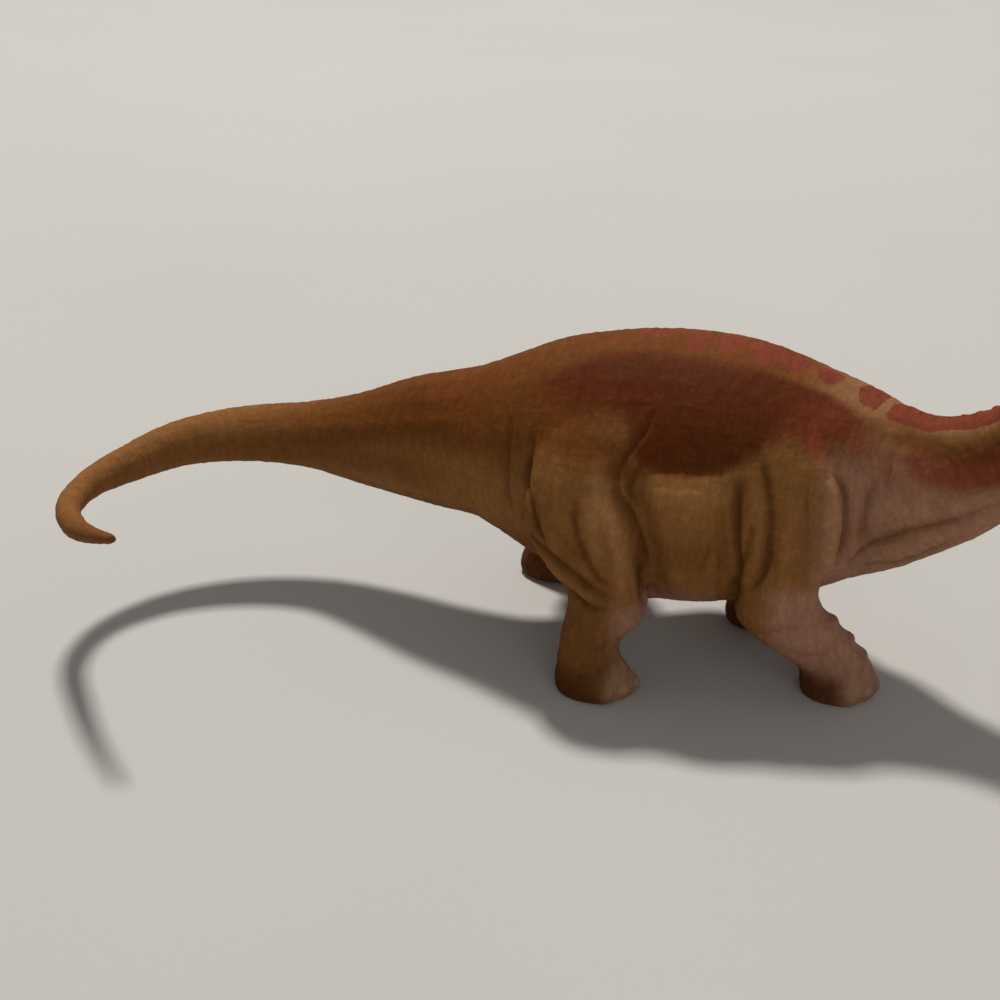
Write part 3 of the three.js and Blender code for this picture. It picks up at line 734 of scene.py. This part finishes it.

# Brown paint along the neck above its rosy streak. Painted shade down the lower sides of the tail,
# at the throat, under the saddle's edge and low on the belly, on the rump behind the thigh, on the
# thigh and its lower front, and down the back of the shank
tail_side_shade = np.interp(along, [-190, -150, -118, -96, -76, -62], [0.6, 0.3, 0.5, 0.9, 0.7, 0])
tail_side_shade *= ease(0.30, 0.48, round_share) * (1 - 0.3 * ease(0.60, 0.76, round_share))
shade = strongest(
    neck_brown,
    tail_side_shade,
    0.9 * bell((round_share - 0.57) / 0.12) * span(along, -118, -96, -58, -36),
    0.5 * spray(body_round, (40, 0.66), (10, 0.09)),
    0.6 * outside * bell((height - saddle_foot - 0.3) / 1.1) * span(forward, -12, -7, 9, 13),
    0.8 * outside * spray(flank, (1.0, 31.5), (9, 4.5)),
    0.55 * outside * spray(flank, (-34, 43), (7, 7)),
    0.6 * outside * spray(hind_flank, (-27.5, 35), (4.5, 7)),
    0.7 * outside * spray(hind_flank, (-19.0, 31), (4.5, 5.5)),
    0.95 * ease(30, 23, height) * ease(-7, -15, hind_forward) * (along < 8))

# Painted highlight on the upper belly and down the front of the thigh
pale = strongest(
    0.5 * outside * bell((height - 43.0) / 3.2) * span(forward, -9.0, -5.5, 6.0, 8.8),
    0.5 * outside * spray(hind_flank, (-14.0, 39.0), (4.5, 7.5)))

# Pinker on the hip, over the chest and the foreleg, and under and on top of the neck's root. Down
# the front of the hind foot it is painted reflected light from the floor
blush = strongest(
    0.7 * outside * hip_spot,
    0.9 * outside * ease(19, 28, fore_forward) * ease(58, 46, height),
    ease(12, 20, fore_forward) * ease(30, 22, height),
    0.6 * ease(30, 42, along) * ease(0.30, 0.55, round_share),
    0.4 * ease(14, 30, along) * ease(0.28, 0.17, round_share),
    0.95 * ease(27, 16, height) * ease(-19, -12, hind_forward) * (hind_forward < 6))

MASKS = {
    "red": red, "rust": rust, "dark": dark, "rosy": rosy, "tint": tint, "sunset": sunset,
    "shade": shade, "pale": pale, "blush": blush, "heel": heel, "toe_tip": toe_tip,
    # painted shade in creases and hollows, painted highlight on crests
    "crease": np.clip(crease, 0, 1), "crest": crest, "hollow": hollow,
}
for name in WRINKLES:
    MASKS[name] = np.empty(len(place), np.float32)
    finished_skin.attributes[name].data.foreach_get("value", MASKS[name])

# Parting the skin
# Each spot of the skin belongs to the cast piece whose solid lies nearest. Behind its seam a piece
# ends in a tapered plug, or in the socket for one, and keeps the whole skin's shading at the rim.

# Depth and taper of a plug as shares of its rim's size, and how much wider and deeper its socket is
PLUG_DEPTH = 0.3
PLUG_TAPER = 0.8
PLUG_GAP = 0.5 * mm

finished_normal = read_vectors(finished_skin.vertex_normals, "vector")
finished_place = read_vectors(finished_skin.vertices, "co")
quads = np.empty(4 * len(finished_skin.polygons), np.int64)
finished_skin.polygons.foreach_get("vertices", quads)
quads = quads.reshape(-1, 4)
centres = (settled * mm + zero)[quads].mean(1)
owner = np.array([solid_of_face[nearest_solid.find_nearest(Vector(c))[2]] for c in centres])

edge_pairs = np.sort(np.stack([quads, np.roll(quads, -1, 1)], 2).reshape(-1, 2), axis=1)
edge_keys = edge_pairs[:, 0] * len(finished_place) + edge_pairs[:, 1]
order = np.argsort(edge_keys, kind="stable")
pair_of_faces = np.repeat(np.arange(len(quads)), 4)[order].reshape(-1, 2)


def blobs_of(owner):
    """A number for each patch of touching faces that have the same owner."""
    patch = np.arange(len(owner))
    same = pair_of_faces[owner[pair_of_faces[:, 0]] == owner[pair_of_faces[:, 1]]]
    while True:
        low = np.minimum(patch[same[:, 0]], patch[same[:, 1]])
        before = patch.copy()
        np.minimum.at(patch, same[:, 0], low)
        np.minimum.at(patch, same[:, 1], low)
        patch = patch[patch]
        if (patch == before).all():
            return patch


# Strays are given to the neighbour that they touch, until each piece is one patch
for _ in range(4):
    patch = blobs_of(owner)
    sizes = np.bincount(patch, minlength=len(quads))
    for piece in range(len(solid_names)):
        ids = np.unique(patch[owner == piece])
        main = ids[sizes[ids].argmax()]
        stray = (owner == piece) & (patch != main)
        for a, b in pair_of_faces[stray[pair_of_faces].any(1)]:
            if stray[a] and owner[b] != piece:
                owner[a] = owner[b]
            elif stray[b] and owner[a] != piece:
                owner[b] = owner[a]


def rims_of(faces):
    """The closed rings of vertices round a patch of faces, in the order that closes the patch."""
    starts, ends = faces.ravel(), np.roll(faces, -1, 1).ravel()
    forward_keys = starts * len(finished_place) + ends
    backward_keys = ends * len(finished_place) + starts
    open_edges = ~np.isin(forward_keys, backward_keys)
    following = {}
    for start, end in zip(starts[open_edges], ends[open_edges]):
        following.setdefault(end, []).append(start)
    rims = []
    while following:
        first = next(iter(following))
        rim, spot = [], first
        while not rim or spot != first:
            rim.append(spot)
            after = following[spot].pop()
            if not following[spot]:
                del following[spot]
            spot = after
        rims.append(rim)
    return rims


def part_piece(name):
    """The piece's own share of the skin as a closed object, with the paint masks on it."""
    faces = quads[owner == solid_names.index(name)]
    used, faces_flat = np.unique(faces, return_inverse=True)
    new_faces = faces_flat.reshape(-1, 4).tolist()
    points = finished_place[used]
    new_index = np.full(len(finished_place), -1)
    new_index[used] = np.arange(len(used))
    trunk_middle = np.array(torso_middle)
    added = []
    for rim in rims_of(faces):
        ring = new_index[rim]
        edge = points[ring]
        hub = edge.mean(0)
        inward = np.cross(edge - hub, np.roll(edge, -1, 0) - hub).sum(0)
        inward *= np.sign(inward @ (trunk_middle - hub)) / np.linalg.norm(inward)
        # the rim nearest the trunk ends in a plug, and one farther out in a socket for the next
        piece_reach = np.linalg.norm(points.mean(0) - trunk_middle)
        is_socket = np.linalg.norm(hub - trunk_middle) > piece_reach
        reach = np.linalg.norm(edge - hub, axis=1).mean()
        depth = PLUG_DEPTH * reach + is_socket * PLUG_GAP
        taper = PLUG_TAPER + is_socket * PLUG_GAP / reach
        inner_edge = hub + taper * (edge - hub) + inward * depth
        first = len(points) + len(added)
        inner_ring = range(first, first + len(ring))
        hub_index = first + len(ring)
        added += [*inner_edge, hub + inward * depth]
        for a, b, c, d in zip(ring, np.roll(ring, -1), np.roll(inner_ring, -1), inner_ring):
            new_faces += [(a, b, c, d), (d, c, hub_index)]
    unpainted = len(added)
    mesh = bpy.data.meshes.new(name + "_skin")
    mesh.from_pydata(np.vstack([points, added]).tolist(), [], new_faces)
    mesh.shade_smooth()
    mesh.normals_split_custom_set_from_vertices(
        np.vstack([finished_normal[used], np.zeros((unpainted, 3))]).tolist())
    for mask, values in {**MASKS, "flow": flow}.items():
        blank = np.zeros((unpainted, *values.shape[1:]))
        keep_values(mesh, mask, np.concatenate([values[used], blank]))
    return add_object(name + "_skin", mesh)


# Torso
# The trunk, one solid casting in sand vinyl, sprayed rust on the flanks and coral red along the
# back. The other seven pieces plug into it.


def relief_group():
    """Fine grain of the moulded skin: crossed hair lines that follow the body, and grit."""
    tree = bpy.data.node_groups.new("moulded_grain", "ShaderNodeTree")
    for name, value in (("Hair spacing", 0.9 * mm), ("Depth", 0.04 * mm), ("Matte", 0.5)):
        socket = tree.interface.new_socket(name, in_out="INPUT", socket_type="NodeSocketFloat")
        socket.default_value = value
    for name, kind in (("Normal", "NodeSocketVector"), ("Roughness", "NodeSocketFloat"),
                       ("Lines", "NodeSocketFloat")):
        tree.interface.new_socket(name, in_out="OUTPUT", socket_type=kind)
    given = node(tree, "NodeGroupInput").outputs
    spot = node(tree, "ShaderNodeTexCoord").outputs["Object"]
    flow_place = node(tree, "ShaderNodeAttribute", attribute_name="flow").outputs["Vector"]
    over = maths(tree, "DIVIDE", 1.0, given["Hair spacing"])
    bend = node(tree, "ShaderNodeTexNoise", {"Vector": spot, "Scale": 300.0, "Detail": 1.0})
    bent = vector_maths(tree, "MULTIPLY_ADD", bend.outputs["Color"], (1.2 * mm,) * 3, flow_place)
    lines = []
    for stretch in ((1.0, 0.28, 0.28), (0.28, 1.0, 1.0)):
        pulled = vector_maths(tree, "MULTIPLY", bent, stretch)
        lines.append(wandering_lines(tree, pulled, over, 0.10, 1.0))
    crossed = maths(tree, "MAXIMUM", *lines)
    grit = node(tree, "ShaderNodeTexNoise", {"Vector": spot, "Scale": 3200.0, "Detail": 1.0})
    total = maths(tree, "SUBTRACT", maths(tree, "MULTIPLY", grit.outputs[0], 0.5), crossed)
    bump = node(tree, "ShaderNodeBump", {
        "Strength": 1.0, "Distance": given["Depth"], "Height": total}).outputs[0]
    shine = node(tree, "ShaderNodeTexNoise", {"Vector": spot, "Scale": 320.0, "Detail": 3.0})
    rough = maths(tree, "MULTIPLY_ADD", shine.outputs[0], 0.2, given["Matte"])
    rough = maths(tree, "MULTIPLY_ADD", crossed, 0.06, rough)
    node(tree, "NodeGroupOutput", {"Normal": bump, "Roughness": rough, "Lines": crossed})
    return tree


# Painted layers in their order, sprayed colours and painted shade and highlights alike: mask,
# colour, how far clouds and specks break the mask up, and where its edge starts and ends
PAINT_LAYERS = (
    # painted highlight; pink paint with painted reflection on the foot; brown paint with painted
    # shade
    ("pale", (0.450, 0.218, 0.070), 0.20, 0.08, 0.0, 1.1),
    ("blush", (0.405, 0.206, 0.132), 0.20, 0.08, 0.0, 1.2),
    ("shade", (0.180, 0.072, 0.017), 0.20, 0.08, 0.0, 1.1),
    ("tint", (0.176, 0.056, 0.010), 0.25, 0.10, 0.0, 1.05),
    ("sunset", (0.195, 0.050, 0.009), 0.35, 0.15, 0.1, 1.8),
    ("rust", (0.121, 0.0200, 0.0043), 0.30, 0.12, 0.0, 1.0),
    ("dark", (0.110, 0.027, 0.0052), 0.30, 0.12, 0.0, 1.1),
    ("rosy", (0.277, 0.062, 0.028), 0.40, 0.16, 0.0, 1.25),
    ("heel", (0.106, 0.037, 0.009), 0.20, 0.10, 0.0, 1.15),
    ("toe_tip", (0.380, 0.225, 0.130), 0.25, 0.12, 0.0, 1.5),
    ("red", (0.222, 0.049, 0.022), 1.60, 0.10, 0.40, 0.62),
    # painted highlight on crests, then painted shade in hollows and creases
    ("crest", (0.460, 0.235, 0.110), 0.20, 0.10, 0.0, 1.8),
    ("hollow", (0.140, 0.052, 0.012), 0.15, 0.08, 0.0, 2.05),
    ("crease", (0.085, 0.028, 0.005), 0.10, 0.08, 0.0, 1.65),
)
# Painted shade darkens the wrinkles and hair lines, by these shares
WRINKLE_SHADES = {"broad_wrinkles": 0.06, "fine_wrinkles": 0.18}
HAIR_LINE_SHADE = 0.10


def paint_group():
    """Lays the sprayed colours and the painted shade and highlights over the vinyl's own, each with
    a soft, broken edge, and paints shade into the wrinkles and hair lines.
    """
    tree = bpy.data.node_groups.new("airbrushed_paint", "ShaderNodeTree")
    socket = tree.interface.new_socket("Vinyl", in_out="INPUT", socket_type="NodeSocketColor")
    socket.default_value = (0.2, 0.085, 0.02, 1)
    tree.interface.new_socket("Lines", in_out="INPUT", socket_type="NodeSocketFloat")
    tree.interface.new_socket("Color", in_out="OUTPUT", socket_type="NodeSocketColor")
    given = node(tree, "NodeGroupInput").outputs
    spot = node(tree, "ShaderNodeTexCoord").outputs["Object"]
    clouds = node(tree, "ShaderNodeTexNoise", {"Vector": spot, "Scale": 190.0, "Detail": 4.0})
    specks = node(tree, "ShaderNodeTexNoise", {"Vector": spot, "Scale": 900.0, "Detail": 2.0})
    patchy = node(tree, "ShaderNodeMapRange", {
        "Value": clouds.outputs[0], "From Min": 0.3, "From Max": 0.7,
        "To Min": 0.94, "To Max": 1.06}).outputs[0]

    def mask_value(name):
        return node(tree, "ShaderNodeAttribute", attribute_name=name).outputs["Fac"]

    color = scaled(tree, given["Vinyl"], patchy)
    for mask, sprayed, cloud_share, speck_share, low, high in PAINT_LAYERS:
        value = mask_value(mask)
        for noise, share in ((clouds, cloud_share), (specks, speck_share)):
            level = maths(tree, "SUBTRACT", noise.outputs[0], 0.5)
            value = maths(tree, "MULTIPLY_ADD", level, share, value)
        edge = node(tree, "ShaderNodeMapRange", {
            "Value": value, "From Min": low, "From Max": high},
            interpolation_type="SMOOTHSTEP").outputs[0]
        color = mixed_color(tree, edge, color, (*sprayed, 1))
    # Painted shade in the wrinkles and hair lines
    wrinkle_shades = [(mask_value(name), share) for name, share in WRINKLE_SHADES.items()]
    for depth, share in (*wrinkle_shades, (given["Lines"], HAIR_LINE_SHADE)):
        color = scaled(tree, color, maths(tree, "MULTIPLY_ADD", depth, -share, 1.0))
    node(tree, "NodeGroupOutput", {0: color})
    return tree


SAND = (0.275, 0.117, 0.032)
grain = relief_group()
paint = paint_group()


def vinyl_material(name):
    """Painted soft vinyl. Returns its tree and shader too, for a piece that adds to them."""
    material, tree = blank_material(name)
    surface = node(tree, "ShaderNodeGroup", {
        "Hair spacing": 0.95 * mm, "Depth": 0.016 * mm, "Matte": 0.58}, node_tree=grain).outputs
    painted = node(tree, "ShaderNodeGroup", {
        "Lines": surface["Lines"], "Vinyl": (*SAND, 1)}, node_tree=paint).outputs
    shader = node(tree, "ShaderNodeBsdfPrincipled", {
        "Base Color": painted["Color"], "Roughness": surface["Roughness"],
        "Normal": surface["Normal"], "Specular IOR Level": 0.05,
        "Subsurface Weight": 0.08, "Subsurface Scale": 1.2 * mm})
    finish_material(tree, shader)
    return material, tree, shader


def dress(name, material):
    """Gives a piece its material, and lets it ride with the figure in place of its solid."""
    piece = part_piece(name)
    piece.data.materials.append(material)
    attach(piece, "root")
    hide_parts(name)


torso_material, _, _ = vinyl_material("torso_vinyl")
dress("torso", torso_material)

# Tail
# A long tapering casting, plugged and glued in behind the thighs. It is the plainest piece, in sand
# vinyl with an orange tint along the top and painted shade down the lower sides.

tail_material, _, _ = vinyl_material("tail_vinyl")
dress("tail", tail_material)

# Neck
# A tapering casting in the same sand vinyl, plugged and glued in front of the shoulders. The coral
# band runs along its ridge, with rosy and brown streaks down its sides.

neck_material, _, _ = vinyl_material("neck_vinyl")
dress("neck", neck_material)

# Head
# A small casting glued on behind the jaw. Brows, nostrils and the closed mouth are moulded in, and
# the eyes are painted: a gloss black ball with an amber ring.

head_material, head_tree, head_shader = vinyl_material("head_vinyl")
head_color = head_shader.inputs["Base Color"].links[0].from_socket
head_roughness = head_shader.inputs["Roughness"].links[0].from_socket
spot = node(head_tree, "ShaderNodeTexCoord").outputs["Object"]
to_each_eye = []
for side in (1, -1):
    eye = BETWEEN_EYES + side * EYE_OUT * HEAD_SIDE + EYE_UP * HEAD_UP
    to_each_eye.append(node(head_tree, "ShaderNodeVectorMath", {
        0: spot, 1: Vector(eye) * mm + belly}, operation="DISTANCE").outputs["Value"])
nearer_eye = maths(head_tree, "MINIMUM", *to_each_eye)

# The amber ring, then the black ball: colour and radius
EYE_PAINTS = ((0.30, 0.12, 0.015), 1.45 * mm), ((0.006, 0.005, 0.005), 1.2 * mm)
EYE_EDGE = 0.12 * mm
EYE_ROUGHNESS = 0.12
for color, radius in EYE_PAINTS:
    inside_eye = node(head_tree, "ShaderNodeMapRange", {
        "Value": nearer_eye, "From Min": radius, "From Max": radius - EYE_EDGE}).outputs[0]
    head_color = mixed_color(head_tree, inside_eye, head_color, (*color, 1))
    head_roughness = node(head_tree, "ShaderNodeMix", {
        0: inside_eye, 2: head_roughness, 3: EYE_ROUGHNESS}).outputs[0]
head_tree.links.new(head_color, head_shader.inputs["Base Color"])
head_tree.links.new(head_roughness, head_shader.inputs["Roughness"])
dress("head", head_material)

# Legs
# Each leg is one casting, thigh to toes, that drops into the side of the trunk by an oval plug.
# A pair's left and right legs differ only in their stance, and the heels are sprayed browner.

for pair in ("hindleg", "foreleg"):
    leg_material, _, _ = vinyl_material(pair + "_vinyl")
    for side in ("right", "left"):
        dress(f"{pair}_{side}", leg_material)

solids.free()
bpy.data.meshes.remove(finished_skin)
